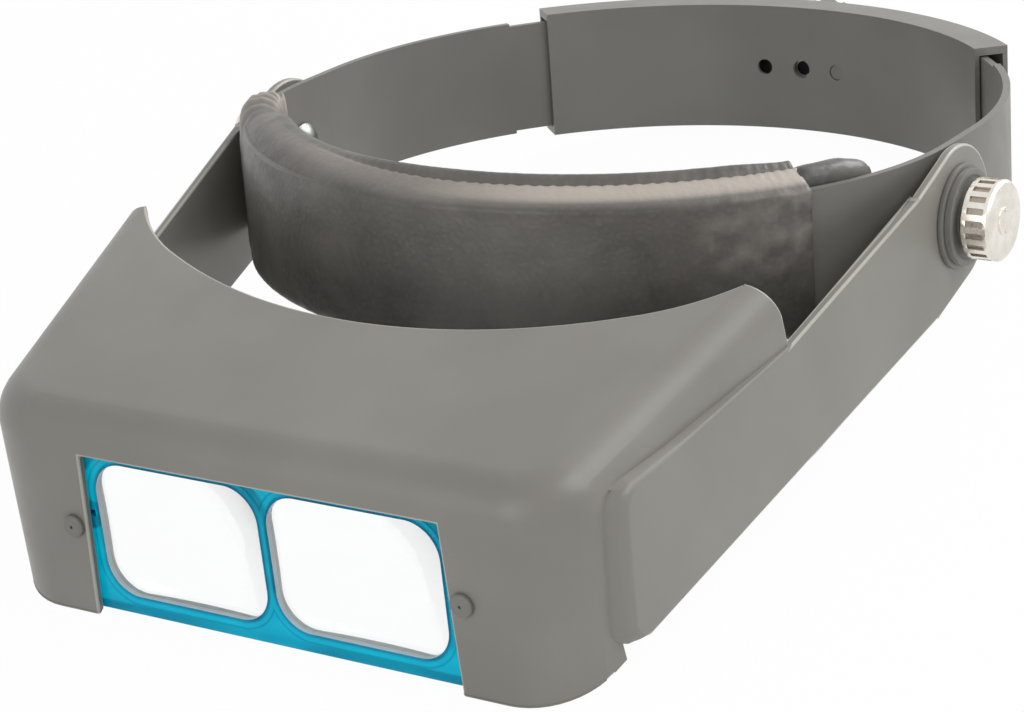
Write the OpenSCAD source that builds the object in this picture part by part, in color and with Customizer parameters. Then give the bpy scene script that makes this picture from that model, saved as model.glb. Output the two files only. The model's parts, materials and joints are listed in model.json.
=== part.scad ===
// Headband magnifier: a deep visor with a pair of lenses, tilting on a padded, adjustable headband.
// Millimetres. The part stands as on a table, on the visor's lower edge and the rear housing.
// Everything is drawn level in the band's own frame first: X to the wearer's left, Y to the rear,
// Z up, with the visor's pivot axis on X at Y = 0, Z = 0. The module stand() then sets it down.

/* [Headband] */
// Width across the outside of the band at the temples
band_w = 184; // [178:1:190]
// Height of the band strip
band_h = 31; // [30:0.5:33]
// Thickness of the band strip
band_t = 1.8; // [1.6:0.1:2]
// Forehead face of the band, forward of the pivot axis
band_front = 76; // [74:1:80]
// Radius of the forehead arc of the band
forehead_r = 101; // [98:1:104]
// Radius of the two side arcs of the band
side_r = 72; // [66:1:74]
// Centre of the rear arc, behind the pivot axis
rear_c = 18; // [16:1:20]
// Gap where the front band and a rear strap part at the temple
split_gap = 0.5; // [0.4:0.1:1]

/* [Rear adjuster] */
// Half of the angle that the rear housing spans
housing_half_angle = 46; // [44:1:48]
// Thickness of the housing's curved inner and outer walls
housing_wall = 1.3; // [1.2:0.1:1.8]
// Thickness of the housing's upper and lower walls
housing_roof = 2; // [1.8:0.1:2.4]
// Clear space inside the housing, across the straps
housing_depth = 6.2; // [5.6:0.1:7]
// Free space round a strap inside the housing
strap_clear = 0.4; // [0.3:0.1:0.6]
// Angle from the housing's mouth to the step that stops the strap
strap_stop_angle = 6.7; // [6.4:0.1:8]
// Angle that each strap reaches past the middle of the housing
strap_reach_angle = 17; // [16:0.5:18]
// Number of teeth on the pinion
pinion_teeth = 10; // [10:1:12]
// Tooth module of the pinion and the racks
tooth_module = 1; // [0.9:0.05:1.1]
// Diameter of the rear adjusting knob
rear_knob_d = 31; // [28:1:33]
// Depth of the rear adjusting knob
rear_knob_l = 9.4; // [9:0.2:11]
// Number of grip flutes round the rear knob
rear_flutes = 16; // [12:1:20]
// Diameter of the rear knob's axle
axle_d = 4; // [3.5:0.1:4.4]
// Distance between the two locating holes in the housing
locating_pitch = 22; // [20:1:24]
// Diameter of a locating hole
locating_d = 4.2; // [3.6:0.1:4.6]

/* [Comfort pad] */
// Height of the forehead cushion
pad_h = 41; // [38:1:43]
// Thickness of the forehead cushion
pad_t = 9.6; // [8:0.2:12]
// Angle from straight ahead to each end of the cushion
pad_half_angle = 72; // [62:1:74]
// Thickness of the vinyl wrap on the outside of the band
wrap_t = 1.5; // [1.2:0.1:2]
// Height that the wrap stands above and below the band
wrap_over = 2.2; // [1.8:0.1:3]
// Angle from straight ahead to the wrap's end on the wearer's left
wrap_left_angle = 53; // [48:1:58]
// Angle from straight ahead to the wrap's end on the wearer's right
wrap_right_angle = 60; // [54:1:64]

/* [Visor] */
// Angle of the visor's arms below the plane of the band
visor_tilt = 17.5; // [14:0.5:20]
// Height of the hood's top above the arms' centre line
hood_top = 27.5; // [25:0.5:30]
// Depth of the hood's lower front edge below the arms' centre line
hood_low = 20; // [19:0.5:21]
// Distance forward from the pivot to the hood's front face, on the arms' centre line
hood_reach = 151.8; // [148:0.2:156]
// Angle that the front face leans out towards its lower edge
face_lean = 14; // [11:0.5:16]
// Width of the hood at its front corners
hood_front_w = 155; // [153:1:158]
// Distance from the hood's front face back to the place where its front widths are measured
front_w_back = 14.8; // [13:0.2:16]
// Width of the hood at the rear opening
hood_rear_w = 177; // [174:1:179]
// Distance forward from the pivot to the place where the rear width is measured
rear_w_reach = 70; // [68:0.5:72]
// Height that the top gains from the brow to the rear
rear_rise = 0.8; // [0.4:0.1:1.2]
// Wall thickness of the hood
hood_wall = 2; // [1.8:0.1:2.4]
// Radius of the brow, where the top rolls into the front
brow_r = 10; // [8:0.5:12]
// Radius of the hood's upright front corners
corner_r = 17; // [13:0.5:18]
// Radius of the shoulders at the rear of the hood
shoulder_r = 8; // [7:0.5:10]
// Radius of the middle of the scoop that clears the forehead
scoop_r = 137; // [132:1:142]
// Radius of the two ends of the scoop
scoop_end_r = 55; // [52:1:58]
// Distance from the middle to the centre of each end of the scoop
scoop_end_x = 38; // [36:0.5:40]
// Distance forward from the pivot to the middle of the scoop
scoop_reach = 100; // [97:1:103]
// Radius of an arm's round end
arm_r = 16.5; // [16:0.1:17]
// Distance forward from the pivot to the notch where the hood starts
notch_reach = 69.5; // [68:0.5:72]
// Height of the arm's upper edge at the notch
notch_h = 13.3; // [13:0.1:14]
// Thickness of an arm
arm_t = 2.2; // [2:0.1:2.6]
// Distance forward from the pivot to the front edge of the side panel, at its foot
panel_reach = 141; // [139:0.5:143]
// Width across the two side panels, where the front widths are measured
panel_w = 163; // [162:0.5:164]
// Depth of the side panel's foot below the arm's centre line
panel_low = 15.8; // [15:0.1:16.5]
// Height of the side panel's front corner
panel_top = 19.6; // [18:0.2:21]

/* [Window and lenses] */
// Width of the window at its upper edge
window_top_w = 94.3; // [92:0.1:96]
// Width of the window at its open lower edge
window_low_w = 97.7; // [96:0.1:99]
// Distance from the window's upper edge down to the cheeks' lower edge
window_h = 39.2; // [38:0.2:40]
// Width of each lens opening
lens_w = 44.2; // [43:0.1:44.4]
// Height of each lens opening
lens_h = 32; // [31:0.2:33]
// Corner radius of each lens opening
lens_corner = 8; // [7:0.5:9]
// Distance between the centres of the two lens openings
lens_pitch = 46.8; // [46.6:0.1:47.4]
// Distance from the window's upper edge to the top of the lens openings
lens_drop = 1.7; // [1.5:0.1:2.2]
// Thickness of the lens frame
frame_t = 4.6; // [4.2:0.1:5]
// Distance from a stud out to the end of the lens frame's ear
frame_ear = 6.5; // [5.5:0.1:7.5]
// Distance from the window's upper edge down to the foot of the lens frame
frame_foot = 38.2; // [37:0.2:39]
// Thickness of each lens at its edge
lens_t = 3; // [2.6:0.1:3.2]
// Focal length of each lens, which is flat in front and crowned behind
lens_focus = 200; // [160:10:300]
// Distance from the side of a lens opening to the stud beside it
stud_side = 6; // [5.6:0.1:7]
// Distance from the window's upper edge down to the studs
stud_drop = 17.4; // [16:0.2:19]
// Diameter of a stud's head
stud_head_d = 5.4; // [4.8:0.1:5.8]
// Diameter of a stud's shank
stud_d = 2.6; // [2.2:0.1:2.8]

/* [Pivots] */
// Diameter of the pivot bolts
bolt_d = 5; // [4.5:0.1:5.4]
// Diameter of the bolt's domed head
bolt_head_d = 10.5; // [10:0.1:11]
// Height of the bolt's domed head
bolt_head_h = 2.6; // [2.2:0.1:3]
// Thickness of the spacer between band and arm
spacer_t = 1.4; // [1.3:0.1:2]
// Thickness of the washer that lies on the arm
arm_washer_t = 1.2; // [1:0.1:1.6]
// Diameter of the washer that lies on the arm
arm_washer_d = 24.4; // [23:0.1:25]
// Thickness of the washer under the thumb knob
knob_washer_t = 1.6; // [1.4:0.1:2]
// Diameter of the washer under the thumb knob
knob_washer_d = 22.4; // [21:0.1:23]
// Diameter of a thumb knob
knob_d = 18.7; // [17:0.1:20]
// Length of a thumb knob's fluted head
knob_l = 6.6; // [6:0.1:8]
// Length of the neck between a thumb knob's head and its washer
knob_neck = 1.5; // [1.2:0.1:2]
// Number of grip slots round a thumb knob
knob_slots = 20; // [16:1:24]

/* [Hidden] */

// Fits
flat_gap = 0.05;
pivot_clear = 0.08;
seat_clear = 0.1;
soft_gap = 0.3;
knob_gap = 0.6;
// Where a line would only touch an arc, it is moved in by this, so that it crosses
cross = 0.06;
// How far a cutting shape runs past what it cuts
past = 1;

// Plan of the band: a forehead arc, two side arcs, two short straight temples and a rear arc
half_w = band_w / 2;
forehead_c = forehead_r - band_front;
side_cx = half_w - side_r;
// Rounded to a micrometre, so that the slices of the band share one cut
side_cy = round(1000 * (forehead_c - sqrt(pow(forehead_r - side_r, 2) - pow(side_cx, 2)))) / 1000;
turn_angle = atan2(side_cx, forehead_c - side_cy);
// From the side arc's centre along the line on which the arcs meet, to well outside the band
meet_line = 8 * [side_cx, side_cy - forehead_c];
// The front band and the straps part a little behind the middle of the straight temples
split_shift = 1;
split_y = (side_cy + rear_c) / 2 + split_shift;

// Rear adjuster, measured from the rear arc's centre. The teeth have the usual pressure angle.
pressure_angle = 20;
strap_out = half_w;
strap_in = half_w - band_t;
hollow_in = strap_in - strap_clear;
hollow_out = hollow_in + housing_depth;
shell_in = hollow_in - housing_wall;
shell_out = hollow_out + housing_wall;
// Height of the step on a strap's edge, which stops against the housing's mouth
stop_step = 0.4;
hollow_half = band_h / 2 - stop_step;
shell_half = hollow_half + housing_roof;
tongue_half = hollow_half - strap_clear;
pitch_r = pinion_teeth * tooth_module / 2;
rack_r = (strap_in + strap_out) / 2;
rack_step = 180 * tooth_module / rack_r;
rack_tip = 0.55 * tooth_module;
rack_root = 1.05 * tooth_module;
pinion_tip = pitch_r + 0.8 * tooth_module;
pinion_root = pitch_r - 0.75 * tooth_module;
base_r = pitch_r * cos(pressure_angle);
pinion_w = band_t + 1.2;
backlash = 0.1;
rail_low = pitch_r + rack_root;
rail_end = housing_half_angle - 13;
axle_clear = 0.06;
boss_d = axle_d + 6;
boss_l = 3.4;
rear_face = rear_c + shell_out;
knob_start = rear_face + knob_gap;
knob_skin = 2;
knob_chamfer = 1;
cap_d = 11.8;
cap_t = 1.4;
// A ring of notches inside the knob, in which the detent spring's nib clicks
notches = 24;
notch_r = 0.8;
notch_ring = rear_knob_d / 2 - knob_skin - 1;
spring_t = 1.6;
nib_r = 0.6;
locating_angle = asin(locating_pitch / 2 / hollow_in);

// Stack of parts along the pivot axis, outwards from the band
bolt_seat = half_w - band_t - 0.6;
spacer_x = half_w + flat_gap;
arm_x = spacer_x + spacer_t + flat_gap;
arm_out = arm_x + arm_t;
arm_washer_x = arm_out + flat_gap;
knob_washer_x = arm_washer_x + arm_washer_t + flat_gap;
knob_x = knob_washer_x + knob_washer_t + flat_gap;
knob_face = knob_x + knob_neck + knob_l;
knob_skin_t = 1.6;
neck_d = 12;
spacer_d = 19;

// Visor, in its own frame: forward distances are negative Y, heights are from the arms' centre line
front_reach = hood_reach - front_w_back;
// The arms run straight back to their round ends, and lean in from here towards the front
arm_flat = arm_r + 0.5;
panel_angle = atan2(arm_out - panel_w / 2, front_reach - arm_flat);
// The hood's uncut form ends a little behind the notches
form_end = notch_reach - shoulder_r - 1.5;
form_low = 30;
side_slope = (hood_rear_w - hood_front_w) / 2 / (front_reach - rear_w_reach);
function side_at(reach) = hood_rear_w / 2 - (reach - rear_w_reach) * side_slope;
function face_at(height) = hood_reach - height * tan(face_lean);

// Standing pose: the lower front edge and the rear adjuster's lowest edge on one level
edge_y = -face_at(-hood_low) * cos(visor_tilt) + hood_low * sin(visor_tilt);
edge_z = -face_at(-hood_low) * sin(visor_tilt) - hood_low * cos(visor_tilt);
knob_low_y = knob_start + rear_knob_l - knob_chamfer;
stand_tilt = min(atan2(-shell_half - edge_z, rear_face - edge_y),
                 atan2(-rear_knob_d / 2 - edge_z, knob_low_y - edge_y));
stand_lift = edge_y * sin(stand_tilt) - edge_z * cos(stand_tilt);
stand_front = edge_y * cos(stand_tilt) + edge_z * sin(stand_tilt);
stand_rear = (knob_start + rear_knob_l) * cos(stand_tilt) + rear_knob_d / 2 * sin(stand_tilt);

$fn = 64;

grey = "#85837d";
band_grey = "#73726c";
vinyl = "#4d4b47";
teal = "#08a5bd";
clear = "#dfeef0";
nickel = "#c9c3ba";
zinc = "#c5ccc4";
steel = "#9a9a98";

module stand() {
    translate([0, -(stand_front + stand_rear) / 2, stand_lift]) rotate([-stand_tilt, 0, 0]) children();
}

module both_sides() {
    children();
    mirror([1, 0, 0]) children();
}

// Turns a shape drawn upwards along Z to run outwards along +X
module along_x() {
    rotate([0, 90, 0]) children();
}

module ring(outer_d, inner_d, length) {
    difference() {
        cylinder(d = outer_d, h = length);
        translate([0, 0, -past]) cylinder(d = inner_d, h = length + 2 * past);
    }
}

// The visor's frame, tilted down at the pivot axis
module visor_frame() {
    rotate([visor_tilt, 0, 0]) children();
}

// The front face's frame: origin on the window's upper edge, Z up the face, Y into the hood
module face_frame() {
    visor_frame() translate([0, -face_at(-hood_low), -hood_low]) rotate([-face_lean, 0, 0])
        translate([0, 0, window_h]) children();
}

// Solid of the hood, grown inwards by inset, with its underside at low_front and low_rear
module hood_form(inset, low_front, low_rear) {
    top_z = hood_top - brow_r;
    front_y = -face_at(top_z) + (brow_r / cos(face_lean)) + corner_r - brow_r;
    front_x = side_at(-front_y) - corner_r;
    rear_x = side_at(form_end) - shoulder_r;
    low_y = -face_at(low_front) + corner_r;
    hull() {
        both_sides() {
            translate([front_x, front_y, top_z]) rotate_extrude($fn = 48) intersection() {
                translate([corner_r - brow_r, 0]) circle(r = brow_r - inset, $fn = 32);
                translate([0, -brow_r]) square([corner_r, 2 * brow_r]);
            }
            translate([rear_x, -form_end, hood_top + rear_rise - shoulder_r])
                sphere(r = shoulder_r - inset, $fn = 32);
            translate([side_at(-low_y) - corner_r, low_y, low_front])
                cylinder(r = corner_r - inset, h = 0.1, $fn = 48);
            translate([rear_x, -form_end, low_rear]) cylinder(r = shoulder_r - inset, h = 0.1, $fn = 32);
        }
    }
}

// The scoop in plan, and all that lies behind the notches above the arms
module scoop() {
    middle_y = scoop_r - scoop_reach;
    near = scoop_r - scoop_end_r;
    end_y = middle_y - sqrt(near * near - scoop_end_x * scoop_end_x) - cross;
    meet_x = scoop_end_x * scoop_r / near;
    translate([0, 0, -2 * form_low]) linear_extrude(height = 4 * form_low) {
        intersection() {
            translate([0, middle_y]) circle(r = scoop_r, $fn = 180);
            translate([-meet_x, -scoop_reach - past]) square([2 * meet_x, form_end]);
        }
        for (side = [-1, 1]) translate([side * scoop_end_x, end_y]) circle(r = scoop_end_r, $fn = 120);
        translate([-hood_rear_w, -notch_reach - 0.3]) square([2 * hood_rear_w, form_end]);
    }
}

// Distances along a side panel, whose outer face leans in towards the front
function along(reach) = (reach - arm_flat) / cos(panel_angle);
edge_r = arm_r - cross;
arm_slope = asin(edge_r / norm([notch_reach, notch_h])) - atan2(notch_h, notch_reach);
foot_slope = asin(edge_r / norm([panel_reach, panel_low])) - atan2(panel_low, panel_reach);
function arm_top(reach) = (edge_r - reach * sin(arm_slope)) / cos(arm_slope);
function arm_foot(reach) = -(edge_r - reach * sin(foot_slope)) / cos(foot_slope);

// The panel's front edge leans back from foot to head, with rounded corners, and its upper edge
// falls a little to the crest, from which it runs down to the notch
foot = along(panel_reach);
head = along(panel_reach - 7.2);
crest = along(113);

// One side panel with its arm, as a flat outline: X is the distance forward, Y the height
module panel_outline() {
    polygon([[0, arm_foot(arm_flat) + 0.05], [foot - 6, arm_foot(panel_reach - 6)],
             [foot - 2, -panel_low + 1.2], [foot - 0.5, -panel_low + 4.4],
             [head + 0.4, panel_top - 5], [head - 1, panel_top - 2.2],
             [head - 3.6, panel_top - 0.5], [head - 7, panel_top], [crest, panel_top - 2],
             [along(notch_reach), notch_h], [0, arm_top(arm_flat) - 0.05]]);
}

// What is hollowed out behind a side panel, a wall's thickness inside its outline
module panel_hollow() {
    low = -arm_r - 9;
    polygon([[0, low], [foot - 3.4, low], [foot - 3.4, 1 - panel_low], [head - 2.4, panel_top - 6],
             [head - 4, panel_top - 3], [crest, panel_top - 5],
             [along(notch_reach - 8), notch_h - 2.4], [0, notch_h - 2.4]]);
}

module side_panel(depth) {
    translate([arm_out, -arm_flat, 0]) rotate([0, 0, -panel_angle]) translate([-depth, 0, 0])
        rotate([0, 0, -90]) rotate([90, 0, 0]) mirror([0, 0, 1]) linear_extrude(height = depth) children();
}

module arm() {
    translate([arm_x, 0, 0]) rotate([0, 90, 0]) cylinder(r = arm_r, h = arm_t);
    translate([arm_x, 0, 0]) rotate([0, 0, -90]) rotate([90, 0, 0]) mirror([0, 0, 1])
        linear_extrude(height = arm_t)
            polygon([[edge_r * sin(arm_slope), edge_r * cos(arm_slope)], [arm_flat, arm_top(arm_flat)],
                     [arm_flat, arm_foot(arm_flat)], [edge_r * sin(foot_slope), -edge_r * cos(foot_slope)],
                     [-1, 0]]);
    side_panel(arm_t) panel_outline();
}

module visor_hood() {
    panel_depth = 7;
    color(grey) stand() visor_frame() difference() {
        union() {
            difference() {
                union() {
                    hood_form(0, -hood_low, -panel_low);
                    both_sides() side_panel(panel_depth) panel_outline();
                }
                hood_form(hood_wall, -hood_low - form_low, -panel_low - form_low);
                both_sides() translate([-arm_t, 0, 0]) side_panel(panel_depth) panel_hollow();
                scoop();
            }
            both_sides() arm();
        }
        both_sides() translate([arm_x - past, 0, 0]) along_x()
            cylinder(d = bolt_d + 2 * pivot_clear, h = arm_t + 2 * past);
        translate([0, -face_at(-hood_low), -hood_low]) rotate([-face_lean, 0, 0]) translate([0, 0, window_h])
            window_cut();
    }
}

// The window and the stud holes, cut through the front wall only
module window_cut() {
    foot = window_h + 6;
    spread = (window_low_w - window_top_w) / 2 / window_h;
    translate([0, hood_wall + 2 * past, 0]) rotate([90, 0, 0]) linear_extrude(height = hood_wall + 4 * past)
        polygon([[-window_top_w / 2, 0], [window_top_w / 2, 0],
                 [window_top_w / 2 + spread * foot, -foot], [-window_top_w / 2 - spread * foot, -foot]]);
    both_sides() translate([stud_pitch / 2, -past, -stud_drop]) rotate([-90, 0, 0])
        cylinder(d = stud_d + 2 * seat_clear, h = hood_wall + 2 * past);
}

module rounded_rect(width, height, radius) {
    x = width / 2 - radius;
    y = height / 2 - radius;
    square([width, 2 * y], center = true);
    square([2 * x, height], center = true);
    for (sx = [-1, 1], sy = [-1, 1]) translate([sx * x, sy * y]) circle(r = radius);
}

lens_z = -lens_drop - lens_h / 2;
stud_pitch = lens_pitch + lens_w + 2 * stud_side;
frame_w = stud_pitch + 2 * frame_ear;
frame_y = hood_wall + flat_gap * 2;
frame_head = 3.1;
// A lip in front of each lens holds it, and a pocket behind the lip seats it
lip_t = frame_t - lens_t - 2 * seat_clear;
lip_w = 1;
lens_over = lip_w - seat_clear - 0.05;
// A narrow slot beside each outer lens, left by the mould
slot_from = (lens_pitch + lens_w) / 2 + lip_w + 0.3;
slot_to = stud_pitch / 2 - stud_d / 2 + 0.1;

module lens_frame() {
    color(teal) stand() face_frame() difference() {
        translate([0, frame_y + frame_t, 0]) rotate([90, 0, 0]) linear_extrude(height = frame_t)
            difference() {
                translate([0, (frame_head - frame_foot) / 2])
                    rounded_rect(frame_w, frame_foot + frame_head, 3);
                for (side = [-1, 1]) translate([side * lens_pitch / 2, lens_z])
                    rounded_rect(lens_w, lens_h, lens_corner);
            }
        for (side = [-1, 1]) translate([side * lens_pitch / 2, frame_y + frame_t + past, lens_z])
            rotate([90, 0, 0]) linear_extrude(height = frame_t + past - lip_t)
                rounded_rect(lens_w + 2 * lip_w, lens_h + 2 * lip_w, lens_corner + lip_w);
        both_sides() translate([stud_pitch / 2, frame_y - past, -stud_drop]) rotate([-90, 0, 0])
            cylinder(d = stud_d + 2 * seat_clear, h = frame_t + 2 * past);
        both_sides() translate([slot_from, frame_y - past, -stud_drop + stud_d / 2 + 0.6])
            cube([slot_to - slot_from, frame_t + 2 * past, 1.6]);
    }
}

// The crown is part of a sphere that gives acrylic of index 1.49 the focal length. It starts at the
// lens's corners, where the lens has its stated thickness.
module lens(side) {
    r = lens_corner + lens_over;
    corner = norm([lens_w / 2 + lens_over - r, lens_h / 2 + lens_over - r]) + r;
    crown_r = 0.49 * lens_focus;
    crown = crown_r - sqrt(crown_r * crown_r - corner * corner);
    color(clear, 0.5) stand() face_frame()
        translate([side * lens_pitch / 2, frame_y + lip_t + seat_clear, lens_z]) rotate([-90, 0, 0])
            intersection() {
                linear_extrude(height = lens_t + crown + past)
                    rounded_rect(lens_w + 2 * lens_over, lens_h + 2 * lens_over, r);
                translate([0, 0, lens_t + crown - crown_r]) sphere(r = crown_r, $fn = 180);
            }
}

module left_lens() lens(1);

module right_lens() lens(-1);

module lens_stud(side) {
    head_t = 0.9;
    chamfer = 0.4;
    tail = 1.5;
    color(grey) stand() face_frame() translate([side * stud_pitch / 2, 0, -stud_drop]) {
        translate([0, -flat_gap, 0]) rotate([90, 0, 0]) difference() {
            union() {
                cylinder(d = stud_head_d, h = head_t);
                translate([0, 0, head_t])
                    cylinder(d1 = stud_head_d, d2 = stud_head_d - 1, h = chamfer, $fn = 48);
            }
            translate([0, 0, head_t - 0.2]) cylinder(d = 0.7, h = past);
        }
        translate([0, -0.5, 0]) rotate([-90, 0, 0])
            cylinder(d = stud_d, h = frame_y + frame_t + 0.5 + tail);
    }
}

module left_lens_stud() lens_stud(1);

module right_lens_stud() lens_stud(-1);

module stud_clips() {
    clip_t = 0.8;
    color(steel) stand() face_frame() both_sides()
        translate([stud_pitch / 2, frame_y + frame_t + flat_gap, -stud_drop]) rotate([-90, 0, 0])
            ring(stud_head_d + 1, stud_d + seat_clear, clip_t);
}

// Walls that follow the band's forehead and side arcs. The child is a flat profile:
// X is the distance outwards from the band's outer face, Y the height.
module along_forehead(right_end, left_end) {
    intersection() {
        translate([0, forehead_c, 0]) rotate_extrude($fn = 180) translate([forehead_r, 0]) children();
        translate([0, forehead_c, -band_h]) linear_extrude(height = 2 * band_h)
            polygon([[0, 0], meet_line, [-meet_line[0], meet_line[1]]]);
    }
    side_wall(left_end) children();
    mirror([1, 0, 0]) side_wall(right_end) children();
}

// Both slices are cut along the line through the arcs' centres, on which the arcs meet
module side_wall(end) {
    intersection() {
        translate([side_cx, side_cy, 0]) rotate([0, 0, 180]) rotate_extrude($fn = 180)
            translate([side_r, 0]) children();
        translate([side_cx, side_cy, -band_h]) linear_extrude(height = 2 * band_h)
            polygon([[0, 0], meet_line, 2 * band_w * [sin(end), -cos(end)]]);
    }
}

module front_band() {
    color(band_grey) stand() difference() {
        union() {
            along_forehead(90, 90) translate([-band_t, -band_h / 2]) square([band_t, band_h]);
            both_sides() translate([half_w - band_t, side_cy, -band_h / 2])
                cube([band_t, split_y - side_cy, band_h]);
        }
        both_sides() translate([half_w - band_t - past, 0, 0]) along_x()
            cylinder(d = bolt_d + 2 * seat_clear, h = band_t + 2 * past);
    }
}

// The cushion is swept along the inside of the band, rounded off at both ends
pad_back = band_t + soft_gap;
pad_rings = 38;
pad_sides = 20;
function bulge(v, power) = sign(v) * pow(abs(v), power);
function pad_centre(a) = abs(a) <= turn_angle ? [0, forehead_c] : [sign(a) * side_cx, side_cy];
function pad_radius(a) = abs(a) <= turn_angle ? forehead_r : side_r;
function pad_end(a) = let (near = min(1, (pad_half_angle - abs(a)) / 9))
    0.3 + 0.7 * sqrt(1 - pow(1 - near, 2));
function pad_point(a, turn) = let (
        full = pad_end(a),
        depth = pad_back + pad_t / 2 - full * pad_t / 2 * bulge(cos(turn), 0.42),
        r = pad_radius(a) - depth,
        c = pad_centre(a))
    [c[0] + r * sin(a), c[1] - r * cos(a), pad_h / 2 * (0.75 + 0.25 * full) * bulge(sin(turn), 0.5)];
pad_points = [for (i = [0:pad_rings], j = [0:pad_sides - 1])
    pad_point(pad_half_angle * (2 * i / pad_rings - 1), 360 * (j + 0.5) / pad_sides)];
pad_faces = concat(
    [for (i = [0:pad_rings - 1], j = [0:pad_sides - 1]) let (k = (j + 1) % pad_sides)
        [i * pad_sides + j, i * pad_sides + k, (i + 1) * pad_sides + k]],
    [for (i = [0:pad_rings - 1], j = [0:pad_sides - 1]) let (k = (j + 1) % pad_sides)
        [i * pad_sides + j, (i + 1) * pad_sides + k, (i + 1) * pad_sides + j]],
    [for (j = [1:pad_sides - 2]) [0, j + 1, j]],
    [for (j = [1:pad_sides - 2]) let (last = pad_rings * pad_sides) [last, last + j, last + j + 1]]);

module pad_cushion() {
    color(vinyl) stand() polyhedron(points = pad_points, faces = pad_faces, convexity = 6);
}

module pad_wrap() {
    top = band_h / 2 + wrap_over;
    bevel = 1.4;
    color(vinyl) stand() along_forehead(wrap_right_angle, wrap_left_angle) difference() {
        polygon([[-band_t - 0.1, -top], [soft_gap, -top], [soft_gap + wrap_t, bevel - top],
                 [soft_gap + wrap_t, top - bevel], [soft_gap, top], [-band_t - 0.1, top]]);
        translate([-band_t - past, -band_h / 2 - soft_gap])
            square([band_t + past + soft_gap, band_h + 2 * soft_gap]);
    }
}

// Pivots: each stack is drawn on the +X side and mirrored for the other
module on_side(side) {
    stand() mirror([side < 0 ? 1 : 0, 0, 0]) children();
}

module pivot_bolt(side) {
    dome_r = (pow(bolt_head_d / 2, 2) + pow(bolt_head_h, 2)) / (2 * bolt_head_h);
    shank_from = bolt_seat - 0.5;
    shank_to = knob_face - knob_skin_t - 0.8;
    color(zinc) on_side(side) {
        intersection() {
            translate([bolt_seat - bolt_head_h + dome_r, 0, 0]) sphere(r = dome_r);
            translate([bolt_seat - bolt_head_h - past, 0, 0]) along_x()
                cylinder(d = bolt_head_d + 2, h = bolt_head_h + past);
        }
        translate([shank_from, 0, 0]) along_x() cylinder(d = bolt_d, h = shank_to - shank_from);
    }
}

module left_pivot_bolt() pivot_bolt(1);

module right_pivot_bolt() pivot_bolt(-1);

module spacer(side) {
    color(grey) on_side(side) translate([spacer_x, 0, 0]) along_x()
        ring(spacer_d, bolt_d + 2 * pivot_clear, spacer_t);
}

module left_spacer() spacer(1);

module right_spacer() spacer(-1);

module arm_washer(side) {
    color(grey) on_side(side) translate([arm_washer_x, 0, 0]) along_x()
        ring(arm_washer_d, bolt_d + 2 * pivot_clear, arm_washer_t);
}

module left_arm_washer() arm_washer(1);

module right_arm_washer() arm_washer(-1);

// Its outer face is dished inside a narrow rim
module knob_washer(side) {
    dish = 0.5;
    color(grey) on_side(side) translate([knob_washer_x, 0, 0]) along_x() difference() {
        ring(knob_washer_d, bolt_d + 2 * pivot_clear, knob_washer_t);
        translate([0, 0, knob_washer_t - dish]) difference() {
            cylinder(d1 = knob_washer_d - 4, d2 = knob_washer_d - 2.4, h = dish + 0.01);
            translate([0, 0, -past]) cylinder(d = neck_d + 1, h = dish + 2 * past);
        }
    }
}

module left_knob_washer() knob_washer(1);

module right_knob_washer() knob_washer(-1);

// The grip slots stop short of both ends of the head. The raised middle has two spanner holes.
module thumb_knob(side) {
    rim = 1.1;
    chamfer = 0.6;
    slot_w = 1.5;
    slot_depth = 0.6;
    slot_l = knob_l - 2 * rim - chamfer + 0.2;
    middle_d = 6.4;
    middle_h = 0.25;
    color(nickel) on_side(side) translate([knob_x, 0, 0]) along_x() difference() {
        union() {
            cylinder(d = neck_d, h = knob_neck + 0.1);
            translate([0, 0, knob_neck]) cylinder(d = knob_d, h = knob_l - chamfer);
            translate([0, 0, knob_neck + knob_l - chamfer])
                cylinder(d1 = knob_d, d2 = knob_d - 2 * chamfer, h = chamfer);
            cylinder(d = middle_d, h = knob_neck + knob_l + middle_h);
        }
        for (i = [0:knob_slots - 1]) rotate([0, 0, (i + 0.5) * 360 / knob_slots])
            translate([knob_d / 2 - slot_depth, -slot_w / 2, knob_neck + rim]) cube([2, slot_w, slot_l]);
        translate([0, 0, -past])
            cylinder(d = bolt_d + 2 * pivot_clear, h = knob_neck + knob_l + past - knob_skin_t);
        for (hole = [-2.5, 2.5]) translate([hole, 0, knob_neck + knob_l - 0.8]) cylinder(d = 0.9, h = 2);
    }
}

module left_thumb_knob() thumb_knob(1);

module right_thumb_knob() thumb_knob(-1);

// Rear adjuster. Angles are from straight back, positive towards the wearer's left.
module rear_arc(inner, outer, low, high, from, to) {
    translate([0, rear_c, 0]) rotate_extrude(angle = to - from, start = 90 - to, $fn = 180)
        translate([inner, low]) square([outer - inner, high - low]);
}

// A rear strap for the wearer's left. Its tongue is a rail with a rack: above the pinion
// where up is 1, below it where up is -1.
module strap(up) {
    full_end = housing_half_angle + strap_stop_angle;
    over = 0.1;
    rail = up > 0 ? [rail_low, tongue_half] : [-tongue_half, -rail_low];
    translate([half_w - band_t, split_y + split_gap, -band_h / 2])
        cube([band_t, rear_c - split_y - split_gap, band_h]);
    rear_arc(strap_in, strap_out, -band_h / 2, band_h / 2, full_end, 90);
    rear_arc(strap_in, strap_out, -tongue_half, tongue_half, rail_end, full_end + over);
    rear_arc(strap_in, strap_out, rail[0], rail[1], -strap_reach_angle, rail_end + over);
    first = ceil((1 - strap_reach_angle) / rack_step);
    last = floor((rail_end - 1) / rack_step);
    for (i = [first:last]) translate([0, rear_c, 0]) rotate([0, 0, -i * rack_step])
        rack_tooth(up);
}

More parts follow.
